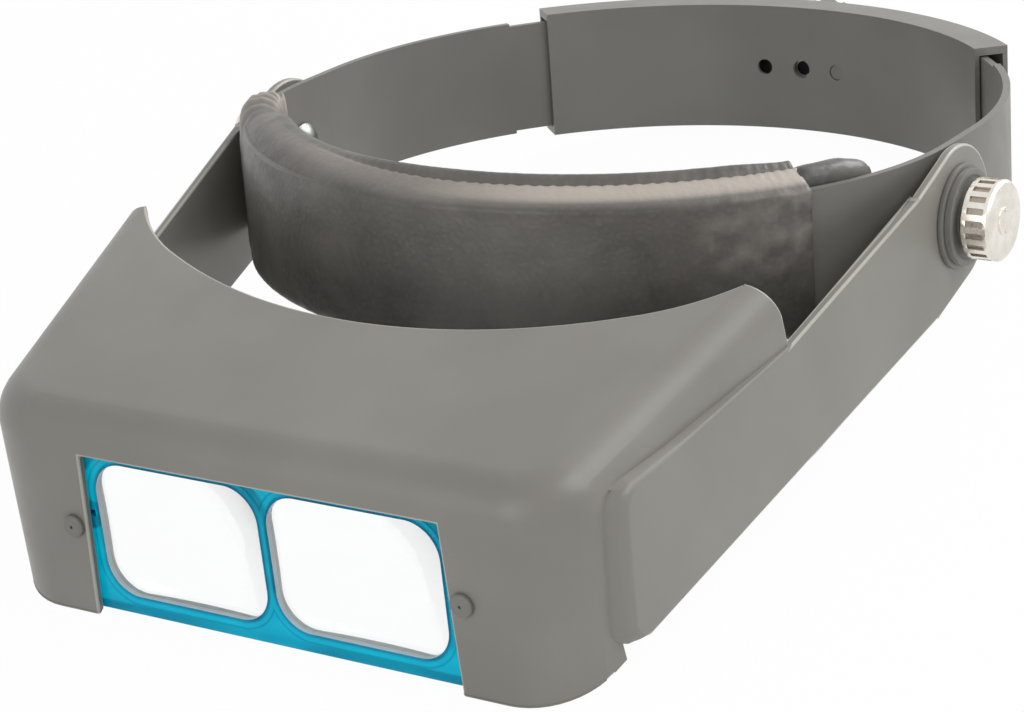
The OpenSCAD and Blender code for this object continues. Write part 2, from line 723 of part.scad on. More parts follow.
module rack_tooth(up) {
    half_tip = tooth_module * PI / 4 - rack_tip * tan(pressure_angle) - backlash;
    half_root = tooth_module * PI / 4 + rack_root * tan(pressure_angle) - backlash;
    translate([0, strap_out, 0]) rotate([90, 0, 0]) linear_extrude(height = band_t)
        polygon([[-half_tip, up * (pitch_r - rack_tip)], [half_tip, up * (pitch_r - rack_tip)],
                 [half_root, up * (rail_low + 0.01)], [-half_root, up * (rail_low + 0.01)]]);
}

module left_strap() {
    color(band_grey) stand() strap(1);
}

module right_strap() {
    color(band_grey) stand() mirror([1, 0, 0]) strap(-1);
}

// Drilled along a radius of the rear arc at an angle from straight back
module radial_hole(angle, diameter, from, to) {
    translate([0, rear_c, 0]) rotate([0, 0, -angle]) translate([0, from, 0]) rotate([-90, 0, 0])
        cylinder(d = diameter, h = to - from);
}

module housing_shell() {
    color(grey) stand() difference() {
        rear_arc(shell_in, shell_out, -shell_half, shell_half, -housing_half_angle, housing_half_angle);
        rear_arc(hollow_in, shell_out + past, -hollow_half, hollow_half,
                 -housing_half_angle - past, housing_half_angle + past);
        radial_hole(0, axle_d + 1, shell_in - 2 * past, hollow_in + 2 * past);
        for (side = [-1, 1])
            radial_hole(side * locating_angle, locating_d, shell_in - 2 * past, hollow_in + 2 * past);
    }
}

module housing_cover() {
    color(grey) stand() {
        difference() {
            union() {
                rear_arc(hollow_out, shell_out, flat_gap - hollow_half, hollow_half - flat_gap,
                         -housing_half_angle, housing_half_angle);
                radial_hole(0, boss_d, hollow_out + 0.8, shell_out + boss_l);
                radial_hole(locating_angle, locating_d - 2 * seat_clear, hollow_in - 0.9, hollow_out + 0.5);
            }
            radial_hole(0, axle_d + 2 * axle_clear, hollow_out - 2 * past, shell_out + boss_l + 2 * past);
        }
    }
}

function involute_turn(r) = r <= base_r ? 0 : let (a = acos(base_r / r)) tan(a) * 180 / PI - a;
function tooth_half(r) = 90 / pinion_teeth - backlash * 90 / PI / pitch_r
                         + involute_turn(pitch_r) - involute_turn(r);
flank = [pinion_root, base_r, pitch_r, (pitch_r + pinion_tip) / 2, pinion_tip];

module rear_pinion() {
    // Turned so that gaps, not teeth, meet the rack teeth at top and bottom
    start = pinion_teeth % 2 == 0 ? 180 / pinion_teeth + 90 : 90;
    points = [for (i = [0:pinion_teeth - 1]) let (a = start + i * 360 / pinion_teeth)
        each concat([for (r = flank) r * [cos(a - tooth_half(r)), sin(a - tooth_half(r))]],
                    [for (j = [len(flank) - 1:-1:0]) let (r = flank[j], b = a + tooth_half(r))
                        r * [cos(b), sin(b)]])];
    color(steel) stand() translate([0, rear_c + hollow_in + 0.2 + pinion_w, 0]) rotate([90, 0, 0])
        linear_extrude(height = pinion_w) difference() {
            polygon(points);
            circle(d = axle_d);
        }
}

module knob_axle() {
    end = knob_start - rear_c + rear_knob_l - knob_skin - 0.5;
    color(steel) stand() radial_hole(0, axle_d, hollow_in + 0.3, end);
}

module rear_knob() {
    color(band_grey) stand() translate([0, knob_start, 0]) rotate([-90, 0, 0]) difference() {
        union() {
            cylinder(d = rear_knob_d, h = rear_knob_l - knob_chamfer);
            translate([0, 0, rear_knob_l - knob_chamfer])
                cylinder(d1 = rear_knob_d, d2 = rear_knob_d - 2 * knob_chamfer, h = knob_chamfer);
        }
        translate([0, 0, -past]) cylinder(r = notch_ring - 0.7, h = rear_knob_l - knob_skin - 3 + past);
        for (i = [0:notches - 1]) rotate([0, 0, i * 360 / notches])
            translate([notch_ring - 0.6, 0, -past]) cylinder(r = notch_r, h = 3.4 + past, $fn = 16);
        for (i = [0:rear_flutes - 1]) rotate([0, 0, (i + 0.5) * 360 / rear_flutes])
            translate([rear_knob_d / 2 + 0.7, 0, -past])
                cylinder(r = 1.6, h = rear_knob_l + 2 * past, $fn = 24);
        cylinder(d = axle_d, h = rear_knob_l + past);
        translate([0, 0, rear_knob_l - cap_t - seat_clear])
            cylinder(d = cap_d + 2 * seat_clear, h = cap_t + past);
    }
}

module rear_knob_cap() {
    color(grey) stand() translate([0, knob_start + rear_knob_l - cap_t - flat_gap, 0]) rotate([-90, 0, 0])
        cylinder(d = cap_d, h = cap_t);
}

module detent_spring() {
    spring_r = boss_d / 2 + seat_clear;
    tip = notch_ring - 0.85;
    color(steel) stand() translate([0, rear_face + 1, 0]) rotate([-90, 0, 0]) {
        ring(2 * spring_r + 1.6, 2 * spring_r, spring_t);
        translate([spring_r + 0.4, -nib_r, 0]) cube([tip - spring_r - 1, 2 * nib_r, spring_t]);
        translate([tip - nib_r, 0, 0]) cylinder(r = nib_r, h = spring_t, $fn = 24);
    }
}

visor_hood();
lens_frame();
left_lens();
right_lens();
left_lens_stud();
right_lens_stud();
stud_clips();
front_band();
pad_cushion();
pad_wrap();
left_pivot_bolt();
right_pivot_bolt();
left_spacer();
right_spacer();
left_arm_washer();
right_arm_washer();
left_knob_washer();
right_knob_washer();
left_thumb_knob();
right_thumb_knob();
left_strap();
right_strap();
housing_shell();
housing_cover();
rear_knob();
rear_knob_cap();
knob_axle();
rear_pinion();
detent_spring();
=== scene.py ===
# %% [markdown]
# # A headband magnifier, dressed piece by piece
# The object is a pair of magnifying lenses in a grey plastic visor. The visor hangs from two pivots
# on a padded headband, and a knob at the back draws two straps together until the band fits a head.
# The CAD model gives every rigid piece its size and its place. This script adds what CAD leaves out:
# rounded edges, soft vinyl, clear and coloured acrylic, plated metal, light and a camera.

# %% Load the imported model
import bpy
import json
from math import atan2, cos, degrees, exp, radians, sin, sqrt, tan
from mathutils import Matrix, Vector, noise

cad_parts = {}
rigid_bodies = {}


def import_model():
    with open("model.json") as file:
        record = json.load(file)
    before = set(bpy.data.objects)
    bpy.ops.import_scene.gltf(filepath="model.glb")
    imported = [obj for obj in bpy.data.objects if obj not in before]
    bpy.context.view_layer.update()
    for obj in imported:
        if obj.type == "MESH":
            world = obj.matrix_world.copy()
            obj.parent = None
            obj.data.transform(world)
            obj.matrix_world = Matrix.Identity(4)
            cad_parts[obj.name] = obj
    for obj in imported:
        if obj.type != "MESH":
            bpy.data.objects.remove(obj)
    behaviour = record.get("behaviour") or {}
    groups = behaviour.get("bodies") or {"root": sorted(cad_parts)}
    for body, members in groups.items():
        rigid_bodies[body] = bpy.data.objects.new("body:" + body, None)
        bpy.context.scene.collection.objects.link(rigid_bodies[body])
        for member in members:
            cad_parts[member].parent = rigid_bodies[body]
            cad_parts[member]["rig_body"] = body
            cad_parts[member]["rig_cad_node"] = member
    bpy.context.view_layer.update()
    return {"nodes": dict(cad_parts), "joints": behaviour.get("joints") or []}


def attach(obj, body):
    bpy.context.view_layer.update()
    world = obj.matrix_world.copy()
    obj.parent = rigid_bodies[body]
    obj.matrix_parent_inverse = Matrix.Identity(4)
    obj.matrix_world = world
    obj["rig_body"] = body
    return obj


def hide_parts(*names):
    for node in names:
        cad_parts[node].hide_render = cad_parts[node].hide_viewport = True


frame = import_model()
nodes = frame["nodes"]
joints = {joint["name"]: joint for joint in frame["joints"]}
MM = 0.001

# %% [markdown]
# ## Where things are
# The object stands on the front edge of its visor and on the knob at the back, so the band leans a
# little. Three frames make that easy to live with: the band's, with its origin on the pivot axis, the
# visor's, tilted down from it, and the lens plate's, which leans with the visor's front face. The
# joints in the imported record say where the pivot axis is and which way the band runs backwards.

# %% Frames of the band, the visor and the lens plate
pivot = Vector((0, *joints["visor_tilt"]["pos_m"][1:]))
backwards = Vector(joints["rear_slide"]["axis"])
BAND = Matrix.Translation(pivot) @ Matrix.Rotation(atan2(backwards.z, backwards.y), 4, "X")
VISOR = BAND @ Matrix.Rotation(radians(17.5), 4, "X")
FACE_LEAN, FACE_REACH, FACE_LOW, WINDOW_H = 14, 151.8, 20, 39.2
LENS_W, LENS_H, LENS_CORNER, LENS_PITCH, LENS_DROP = 44.2, 32, 8, 46.8, 1.7
face_y = -(FACE_REACH + FACE_LOW * sin(radians(FACE_LEAN)) / cos(radians(FACE_LEAN)))
FACE = (VISOR @ Matrix.Translation(Vector((0, face_y, -FACE_LOW)) * MM)
        @ Matrix.Rotation(radians(-FACE_LEAN), 4, "X") @ Matrix.Translation((0, 0, WINDOW_H * MM)))
print("the band leans back by", round(degrees(atan2(-backwards.z, backwards.y)), 2), "degrees")

# %% [markdown]
# ## Camera
# The photograph looks down on the magnifier from the front and from the wearer's left, with the
# camera rolled by a few degrees. Its place and its long lens were found by laying the CAD model's
# corners over the photograph, whose width of 1024 pixels gives the focal length.

# %% Camera at the photograph's viewing angle
VIEW_TURN, VIEW_HEIGHT, VIEW_ROLL = radians(34.0296), radians(19.6718), radians(-4.2066)
PICTURE_WIDTH, PICTURE_HEIGHT, FOCAL_PIXELS = 1024, 712, 3000
DISTANCE = 733.81 * MM
ORIGIN_PIXEL = Vector((600.06, 175.76))

away = Vector((sin(VIEW_TURN) * cos(VIEW_HEIGHT), -cos(VIEW_TURN) * cos(VIEW_HEIGHT), sin(VIEW_HEIGHT)))
level_right = Vector((cos(VIEW_TURN), sin(VIEW_TURN), 0))
level_up = away.cross(level_right)
right = cos(VIEW_ROLL) * level_right + sin(VIEW_ROLL) * level_up
up = cos(VIEW_ROLL) * level_up - sin(VIEW_ROLL) * level_right
per_pixel = DISTANCE / FOCAL_PIXELS
place = (away * DISTANCE - right * (ORIGIN_PIXEL.x - PICTURE_WIDTH / 2) * per_pixel
         - up * (PICTURE_HEIGHT / 2 - ORIGIN_PIXEL.y) * per_pixel)
look = Matrix((right, up, away)).transposed().to_4x4()
bpy.ops.object.camera_add()
camera = bpy.context.object
camera.name = "photograph_camera"
camera.matrix_world = BAND @ Matrix.Translation(place) @ look
camera.data.sensor_width = 36
camera.data.lens = FOCAL_PIXELS / PICTURE_WIDTH * 36
camera.data.clip_start, camera.data.clip_end = 0.05, 20
bpy.context.scene.camera = camera
print("camera at", [round(v, 3) for v in camera.matrix_world.translation],
      "lens", round(camera.data.lens, 1))

# %% [markdown]
# ## Floor and light
# A plain pale floor carries the object and its shadow. To the camera, and in reflections and through
# the lenses, the surroundings are white, as in the photograph, while the light that falls on the
# object stays at the level at which a colour renders about as it is written.


# %% Functions for colours and nodes
def paint(code):
    """A colour from its sRGB hex code, as the linear value that the shaders want."""
    parts = [int(code[i:i + 2], 16) / 255 for i in (1, 3, 5)]
    return (*[p / 12.92 if p <= 0.04045 else ((p + 0.055) / 1.055) ** 2.4 for p in parts], 1)


def add_node(tree, kind, inputs=None, **settings):
    """Adds a node with its settings. An input is a value, or the socket that it is linked from."""
    made = tree.nodes.new(kind)
    for name, value in settings.items():
        setattr(made, name, value)
    for name, value in (inputs or {}).items():
        if isinstance(value, bpy.types.NodeSocket):
            tree.links.new(value, made.inputs[name])
        else:
            made.inputs[name].default_value = value
    return made


def calculate(tree, operation, *values, kind="ShaderNodeMath", result=0):
    """Adds a node that works on numbers, or on vectors, and returns the output with its result."""
    return add_node(tree, kind, dict(enumerate(values)), operation=operation).outputs[result]


def seen_directly(tree):
    """1 for rays from the camera, off shiny surfaces and through clear ones, else 0."""
    path = add_node(tree, "ShaderNodeLightPath").outputs
    shiny = calculate(tree, "MAXIMUM", path["Is Camera Ray"], path["Is Glossy Ray"])
    return calculate(tree, "MAXIMUM", shiny, path["Is Transmission Ray"])


# %% White surroundings and a floor that keeps the shadow
AMBIENT, FLOOR_GLOW = 0.46, 0.97
FLOOR_SIZE, FLOOR_DROP = 6, 0.3 * MM
world = bpy.data.worlds.new("plain_white_studio")
world.use_nodes = True
sky = world.node_tree
sky.nodes.clear()
soft = add_node(sky, "ShaderNodeBackground", {"Color": (1, 1, 1, 1), "Strength": AMBIENT})
white = add_node(sky, "ShaderNodeBackground", {"Color": (1, 1, 1, 1), "Strength": 1.0})
both = add_node(sky, "ShaderNodeMixShader",
                {0: seen_directly(sky), 1: soft.outputs[0], 2: white.outputs[0]})
add_node(sky, "ShaderNodeOutputWorld", {"Surface": both.outputs[0]})
bpy.context.scene.world = world

bpy.ops.mesh.primitive_plane_add(size=FLOOR_SIZE, location=(0, 0, -FLOOR_DROP))
floor = bpy.context.object
floor.name = "floor"
pale = bpy.data.materials.new("pale_paper_floor")
pale.use_nodes = True
paper = pale.node_tree
paper.nodes.clear()
matt = add_node(paper, "ShaderNodeBsdfDiffuse", {"Color": paint("#f6f6f4")})
glow = add_node(paper, "ShaderNodeEmission", {"Color": (1, 1, 1, 1), "Strength": 1.0})
glow_share = calculate(paper, "MULTIPLY", seen_directly(paper), FLOOR_GLOW)
mixed = add_node(paper, "ShaderNodeMixShader", {0: glow_share, 1: matt.outputs[0], 2: glow.outputs[0]})
add_node(paper, "ShaderNodeOutputMaterial", {"Surface": mixed.outputs[0]})
floor.data.materials.append(pale)


# %% Three large soft lamps
LAMP_TARGET = Vector((0, -0.03, 0.06))


def soft_lamp(name, at, size, power):
    """A square lamp that faces the object. Its place and size are in metres, and its power in watts."""
    bpy.ops.object.light_add(type="AREA", location=at)
    lamp = bpy.context.object
    lamp.name = name
    lamp.data.size = size
    lamp.data.energy = power
    lamp.rotation_euler = (LAMP_TARGET - Vector(at)).to_track_quat("-Z", "Y").to_euler()
    return lamp


soft_lamp("key_lamp", (1.0, 0.1, 1.0), 0.8, 5.6)
soft_lamp("front_lamp", (-0.2, -1.3, 0.5), 0.8, 3.3)
soft_lamp("back_lamp", (0.4, 1.0, 0.66), 0.6, 9)

# %% [markdown]
# ## Materials
# Each finish starts from what the real piece is made of and how its surface was made. Patterns are
# laid out in object coordinates, which are metres here, so a scale of 1 / 0.001 repeats every
# millimetre.


# %% A blank material and a gentle unevenness that every moulding shares
def blank(name):
    """A new material with its shader and output, ready for the finish."""
    material = bpy.data.materials.new(name)
    material.use_nodes = True
    tree = material.node_tree
    tree.nodes.clear()
    shader = add_node(tree, "ShaderNodeBsdfPrincipled")
    add_node(tree, "ShaderNodeOutputMaterial", {"Surface": shader.outputs[0]})
    return material, tree, shader


def mottle(tree, size_mm, detail=3, rough=0.5, stretch=(1, 1, 1)):
    """A cloudy pattern whose patches are about size_mm across."""
    where = add_node(tree, "ShaderNodeTexCoord").outputs["Object"]
    scaled = add_node(tree, "ShaderNodeMapping", {"Vector": where, "Scale": stretch}).outputs[0]
    return add_node(tree, "ShaderNodeTexNoise", {"Vector": scaled, "Scale": 1 / (size_mm * MM),
                                                 "Detail": detail, "Roughness": rough}).outputs[0]


def between(tree, pattern, low, high, first, last):
    """Maps a pattern from low..high to first..last, which are two numbers or two colours."""
    if isinstance(first, (int, float)):
        return add_node(tree, "ShaderNodeMapRange", {"Value": pattern, "From Min": low, "From Max": high,
                                                     "To Min": first, "To Max": last}).outputs[0]
    ramp = add_node(tree, "ShaderNodeValToRGB", {0: pattern})
    ramp.color_ramp.elements[0].position, ramp.color_ramp.elements[0].color = low, first
    ramp.color_ramp.elements[1].position, ramp.color_ramp.elements[1].color = high, last
    return ramp.outputs[0]


def relief(tree, pattern, height_mm, strength=1.0, under=None):
    """Turns a pattern into bumps of a height in millimetres, on top of other bumps if there are any."""
    inputs = {"Height": pattern, "Distance": height_mm * MM, "Strength": strength}
    if under:
        inputs["Normal"] = under
    return add_node(tree, "ShaderNodeBump", inputs).outputs[0]


# %% Moulded ABS for the visor, and a slightly darker polypropylene for the band
def moulded(name, light, dark, gloss, grain_mm):
    """Injection-moulded plastic: even colour with faint flow clouds, and a fine spark-eroded grain."""
    material, tree, shader = blank(name)
    clouds = mottle(tree, 38, detail=2)
    colour = between(tree, clouds, 0.35, 0.65, paint(dark), paint(light))
    tree.links.new(colour, shader.inputs["Base Color"])
    uneven = mottle(tree, 9, detail=4)
    rough = between(tree, uneven, 0.3, 0.7, gloss - 0.04, gloss + 0.05)
    tree.links.new(rough, shader.inputs["Roughness"])
    grain = mottle(tree, grain_mm, detail=2)
    ripple = relief(tree, mottle(tree, 26, detail=1), 0.12, 0.5)
    tree.links.new(relief(tree, grain, 0.02, 0.5, ripple), shader.inputs["Normal"])
    shader.inputs["IOR"].default_value = 1.52
    return material


# ABS at the visor: satin and warm grey.
hood_plastic = moulded("moulded_abs_warm_grey", "#8a8781", "#827f79", 0.36, 0.7)
# Its rims are painted paler: a painted highlight for the line of light that their narrow rounding
# catches.
rim_highlight_plastic = moulded("moulded_abs_painted_highlight_rim", "#b9b6ad", "#aeaba2", 0.33, 0.7)
# The washers, housing and studs are duller and a little darker, and their rims get no painted highlight.
fitting_plastic = moulded("moulded_abs_fittings", "#7d7c77", "#757470", 0.42, 0.7)
# Polypropylene at the band and straps: it has to bend, so it is softer, duller and darker.
band_plastic = moulded("moulded_polypropylene_band", "#787671", "#706e69", 0.46, 0.9)


# %% Vinyl leathercloth for the pad
# How far apart the pebbles of its embossed grain are, in millimetres.
PEBBLE = 1.3


def leathercloth():
    """PVC-coated cloth: dark, with an embossed pebble grain and a dull shine. A point attribute mixes in
    a paler colour, as a painted highlight along the fold, over the gathers and on the band's face."""
    material, tree, shader = blank("vinyl_leathercloth")
    where = add_node(tree, "ShaderNodeTexCoord").outputs["Object"]
    pebbles = {"Vector": where, "Scale": 1 / (PEBBLE * MM), "Smoothness": 0.7}
    cells = add_node(tree, "ShaderNodeTexVoronoi", pebbles, feature="SMOOTH_F1").outputs["Distance"]
    creases = mottle(tree, 5, detail=5, rough=0.62)
    patches = mottle(tree, 24, detail=3)
    colour = between(tree, patches, 0.36, 0.64, paint("#403e3b"), paint("#57544f"))
    high = between(tree, cells, 0.0, 0.55, 0.35, 0.0)
    colour = add_node(tree, "ShaderNodeMix", {"Factor": high, "A": colour, "B": paint("#625e59")},
                      data_type="RGBA").outputs["Result"]
    # The paler colour mixed in here is a painted highlight.
    painted_highlight = add_node(tree, "ShaderNodeAttribute", attribute_name="painted_highlight").outputs["Fac"]
    colour = add_node(tree, "ShaderNodeMix", {"Factor": painted_highlight, "A": colour, "B": paint("#b5aba2")},
                      data_type="RGBA").outputs["Result"]
    tree.links.new(colour, shader.inputs["Base Color"])
    tree.links.new(between(tree, creases, 0.3, 0.7, 0.36, 0.56), shader.inputs["Roughness"])
    flipped = between(tree, cells, 0.0, 0.7, 1.0, 0.0)
    soft_relief = relief(tree, creases, 0.5, 0.5)
    tree.links.new(relief(tree, flipped, 0.09, 0.6, soft_relief), shader.inputs["Normal"])
    shader.inputs["IOR"].default_value = 1.53
    shader.inputs["Coat Weight"].default_value = 0.12
    shader.inputs["Coat Roughness"].default_value = 0.3
    return material


vinyl = leathercloth()


# %% Acrylic: tinted for the lens plate, clear for the lenses
def acrylic(name, tint, through, gloss, ripple_mm):
    """Cast or moulded acrylic: smooth, glossy, and lit from within by what is behind it."""
    material, tree, shader = blank(name)
    flow = mottle(tree, 14, detail=1, stretch=(1, 1, 2.5))
    colour = between(tree, flow, 0.3, 0.7, *tint)
    tree.links.new(colour, shader.inputs["Base Color"])
    tree.links.new(relief(tree, flow, ripple_mm, 0.4), shader.inputs["Normal"])
    shader.inputs["Transmission Weight"].default_value = through
    shader.inputs["Roughness"].default_value = gloss
    shader.inputs["IOR"].default_value = 1.49
    return material, tree, shader, colour


def edge_distance(tree):
    """How far a point of the lens plate is outside the nearer lens opening, in metres. The openings are
    rounded rectangles, and this is the usual distance to one, laid out in the plate's own frame."""
    where = add_node(tree, "ShaderNodeTexCoord").outputs["Object"]
    back = FACE.inverted()
    plate = add_node(tree, "ShaderNodeMapping", {"Vector": where, "Location": back.translation,
                                                 "Rotation": back.to_euler()}).outputs[0]
    centre = (LENS_PITCH / 2 * MM, 0, -(LENS_DROP + LENS_H / 2) * MM)
    inner = ((LENS_W / 2 - LENS_CORNER) * MM, 0, (LENS_H / 2 - LENS_CORNER) * MM)
    vectors = "ShaderNodeVectorMath"
    folded = calculate(tree, "ABSOLUTE", plate, kind=vectors)
    # Height is measured from the openings' middle, width from the middle of the nearer one.
    split = add_node(tree, "ShaderNodeSeparateXYZ", {0: folded})
    raised = calculate(tree, "SUBTRACT", split.outputs[2], -centre[2])
    aside = calculate(tree, "SUBTRACT", split.outputs[0], centre[0])
    flat = add_node(tree, "ShaderNodeCombineXYZ", {0: aside, 2: raised}).outputs[0]
    near = calculate(tree, "ABSOLUTE", flat, kind=vectors)
    over = calculate(tree, "SUBTRACT", near, inner, kind=vectors)
    past = calculate(tree, "MAXIMUM", over, (0, 0, 0), kind=vectors)
    length = calculate(tree, "LENGTH", past, kind=vectors, result="Value")
    return calculate(tree, "SUBTRACT", length, LENS_CORNER * MM)


# Shade is painted on the teal plate where its walls are seen edge-on: a dark line along each opening,
# and a fainter painted line round the lip of it, which stays bright. The ramp paints it from the opening
# outwards.
RIM_FROM, RIM_TO = -0.2, 3.8
PAINTED_RIM_SHADE = ((0.16, "#6fb9cc"), (0.30, "#ffffff"), (0.48, "#ffffff"),
             (0.56, "#8cc4d0"), (0.68, "#ffffff"))
teal_tints = (paint("#00c0e2"), paint("#00d6f2"))
teal_acrylic, tree, shader, colour = acrylic("moulded_acrylic_teal", teal_tints, 0.55, 0.1, 0.1)
outside = between(tree, edge_distance(tree), RIM_FROM * MM, RIM_TO * MM, 0.0, 1.0)
ramp = add_node(tree, "ShaderNodeValToRGB", {0: outside})
ramp.color_ramp.elements[0].color = paint("#6fb9cc")
ramp.color_ramp.elements[1].color = (1, 1, 1, 1)
for place, code in PAINTED_RIM_SHADE:
    ramp.color_ramp.elements.new(place).color = paint(code)
shaded = add_node(tree, "ShaderNodeMix", {"Factor": 1.0, "A": colour, "B": ramp.outputs[0]},
                  data_type="RGBA", blend_type="MULTIPLY").outputs["Result"]
tree.links.new(shaded, shader.inputs["Base Color"])
# Its sheen is hardly seen from the front, so it is given little.
shader.inputs["IOR"].default_value = 1.2
clear_tints = (paint("#ffffff"), paint("#fdffff"))
clear_acrylic, *_ = acrylic("polished_acrylic_clear", clear_tints, 1.0, 0.0, 0.0)
# The rim of a lens is ground, so it is frosted and a little grey.
ground_tints = (paint("#eff3f2"), paint("#fafcfb"))
ground_acrylic, *_ = acrylic("ground_acrylic_rim", ground_tints, 0.25, 0.45, 0.02)


# %% Plated and plain metal
def metal(name, bright, dull, gloss, size_mm, stretch=(1, 1, 1)):
    """Plated or polished metal with faint staining and fine handling marks."""
    material, tree, shader = blank(name)
    stain = between(tree, mottle(tree, 4, detail=3), 0.3, 0.7, paint(dull), paint(bright))
    tree.links.new(stain, shader.inputs["Base Color"])
    marks = mottle(tree, size_mm, detail=4, stretch=stretch)
    rough = between(tree, marks, 0.3, 0.7, gloss - 0.07, gloss + 0.1)
    tree.links.new(rough, shader.inputs["Roughness"])
    tree.links.new(relief(tree, marks, 0.01, 0.4), shader.inputs["Normal"])
    shader.inputs["Metallic"].default_value = 1.0
    return material


# The slots' floor and edge as radii, how far aside a slot's middle is, and half its length.
SLOT_FLOOR, SLOT_EDGE, SLOT_MIDDLE, SLOT_HALF = 8.8, 9.25, 103.25, 2.1


def knob_hollows(tree):
    """1 in the grip slots of the thumb knobs, where shade is painted, inside the grip's radius and
    between its ends.
    """
    where = add_node(tree, "ShaderNodeTexCoord").outputs["Object"]
    from_axis = calculate(tree, "SUBTRACT", where, pivot, kind="ShaderNodeVectorMath")
    split = add_node(tree, "ShaderNodeSeparateXYZ", {0: from_axis})
    off_axis = {1: split.outputs[1], 2: split.outputs[2]}
    across = add_node(tree, "ShaderNodeCombineXYZ", off_axis).outputs[0]
    radius = calculate(tree, "LENGTH", across, kind="ShaderNodeVectorMath", result="Value")
    inside = between(tree, radius, SLOT_FLOOR * MM, SLOT_EDGE * MM, 1.0, 0.0)
    along = calculate(tree, "ABSOLUTE", split.outputs[0])
    middle = calculate(tree, "COMPARE", along, SLOT_MIDDLE * MM, SLOT_HALF * MM)
    return calculate(tree, "MULTIPLY", inside, middle)


# The thumb knobs are moulded and then nickel plated, which softens their edges. Shade is painted into
# the grip slots as a darker colour.
nickel = metal("nickel_plating", "#f0ebe2", "#dcd6cc", 0.3, 0.5)
tree = nickel.node_tree
plated = tree.nodes["Principled BSDF"].inputs["Base Color"]
slot_shade_inputs = {"Factor": knob_hollows(tree), "A": plated.links[0].from_socket, "B": paint("#a79f94")}
painted_slot_shade = add_node(tree, "ShaderNodeMix", slot_shade_inputs, data_type="RGBA").outputs["Result"]
tree.links.new(painted_slot_shade, plated)
# The pivot bolts are steel with a clear zinc passivation, bluish and a little cloudy.
zinc = metal("zinc_plated_steel", "#9ea39b", "#848b84", 0.36, 0.8)
# Springs, axle and pinion are bare drawn steel.
steel = metal("drawn_steel", "#b0b0ae", "#8f8f8d", 0.3, 0.4, stretch=(1, 1, 6))
black_oxide = metal("black_oxide_steel", "#262626", "#141414", 0.5, 0.6)

print("materials:", sorted(m.name for m in bpy.data.materials if m.use_nodes))

# %% [markdown]
# ## Tools for shaping a piece
# A CAD node is never changed. Where a piece needs softer edges than the CAD gives it, a copy of the
# node is cleaned, shaped and shown in its place. The cover starts from a flat grid, which is shaped in
# millimetres in the band's frame and then settled into the object.


# %% Small helpers for selecting, finishing and settling
# Faces that meet at a greater angle than this make a sharp edge.
SHARP = radians(38)


def ease(value, low, high):
    """Goes smoothly from 0 at low to 1 at high."""
    part = min(1, max(0, (value - low) / (high - low)))
    return part * part * (3 - 2 * part)


def only(piece):
    """Selects this piece alone and makes it the active one."""
    if bpy.context.object and bpy.context.object.mode != "OBJECT":
        bpy.ops.object.mode_set(mode="OBJECT")
    bpy.ops.object.select_all(action="DESELECT")
    piece.hide_viewport = False
    piece.select_set(True)
    bpy.context.view_layer.objects.active = piece


def modify(piece, kind, **settings):
    """Adds a modifier with its settings and applies it."""
    only(piece)
    made = piece.modifiers.new(kind.lower(), kind)
    for name, value in settings.items():
        setattr(made, name, value)
    bpy.ops.object.modifier_apply(modifier=made.name)


def cleaned_copy(node, name, merge_mm=0.002):
    """A copy of a CAD node with its loose triangles merged."""
    only(nodes[node])
    bpy.ops.object.duplicate()
    piece = bpy.context.object
    piece.name = piece.data.name = name
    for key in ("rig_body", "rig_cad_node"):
        del piece[key]
    piece.parent = None
    piece.data.materials.clear()
    only(piece)
    bpy.ops.object.mode_set(mode="EDIT")
    bpy.ops.mesh.select_all(action="SELECT")
    bpy.ops.mesh.remove_doubles(threshold=merge_mm * MM)
    bpy.ops.mesh.customdata_custom_splitnormals_clear()
    bpy.ops.object.mode_set(mode="OBJECT")
    return piece


def settle(piece, where):
    """Moves a piece that was modelled in millimetres in one of the three frames to its place."""
    only(piece)
    piece.matrix_world = where @ Matrix.Scale(MM, 4) @ piece.matrix_world
    bpy.ops.object.transform_apply(location=True, rotation=True, scale=True)
    return piece


def hand_over(piece, material, body, slot, *stands_for):
    """Gives a finished piece its material, the body that it moves with and its CAD nodes. The slot is
    not used.
    """
    piece.data.materials.clear()
    piece.data.materials.append(material)
    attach(piece, body)
    if stands_for:
        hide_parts(*stands_for)
    print(piece.name, "has", sum(len(f.vertices) - 2 for f in piece.data.polygons), "triangles")


def refinish(node, material):
    """Keeps the shape of a CAD node and gives it its material."""
    nodes[node].data.materials.clear()
    nodes[node].data.materials.append(material)


def weigh_edges(piece, share):
    """Writes how much of the bevel each sharp edge gets. share is called with the edge's two ends and
    whether the edge stands out, and returns 0 to 1."""
    mesh = piece.data
    meeting = [[] for _ in mesh.edges]
    for face in mesh.polygons:
        for corner in face.loop_indices:
            meeting[mesh.loops[corner].edge_index].append(face)
    weights = mesh.attributes.new("bevel_weight_edge", "FLOAT", "EDGE")
    for edge, faces in zip(mesh.edges, meeting):
        if len(faces) == 2 and faces[0].normal.angle(faces[1].normal, 0) > SHARP:
            ends = [mesh.vertices[i].co for i in edge.vertices]
            stands_out = (faces[1].center - ends[0]).dot(faces[0].normal) < 0
            weights.data[edge.index].value = share(*ends, stands_out)


def soften(piece, edge_mm, share, segments=2, clamp=True, rounded_slot=-1):
    """Joins up flat faces, rounds the sharp edges and shades the rest smoothly. A width of 0 leaves the
    edges sharp, and the rounded edges may get a material slot of their own."""
    modify(piece, "DECIMATE", decimate_type="DISSOLVE", angle_limit=radians(0.6))
    weigh_edges(piece, share)
    if edge_mm:
        modify(piece, "BEVEL", width=edge_mm * MM, segments=segments, limit_method="WEIGHT",
               use_clamp_overlap=clamp, material=rounded_slot)
    bpy.ops.object.shade_smooth_by_angle(angle=SHARP)
    modify(piece, "WEIGHTED_NORMAL", keep_sharp=True)


def softened(node, material, body, slot, edge_mm=0.35, share=lambda first, second, stands_out: 1):
    """Shows a CAD node with the small rounded edges that a mould or a file leaves."""
    piece = cleaned_copy(node, node + "_shown")
    soften(piece, edge_mm, share)
    hand_over(piece, material, body, slot, node)
    return piece
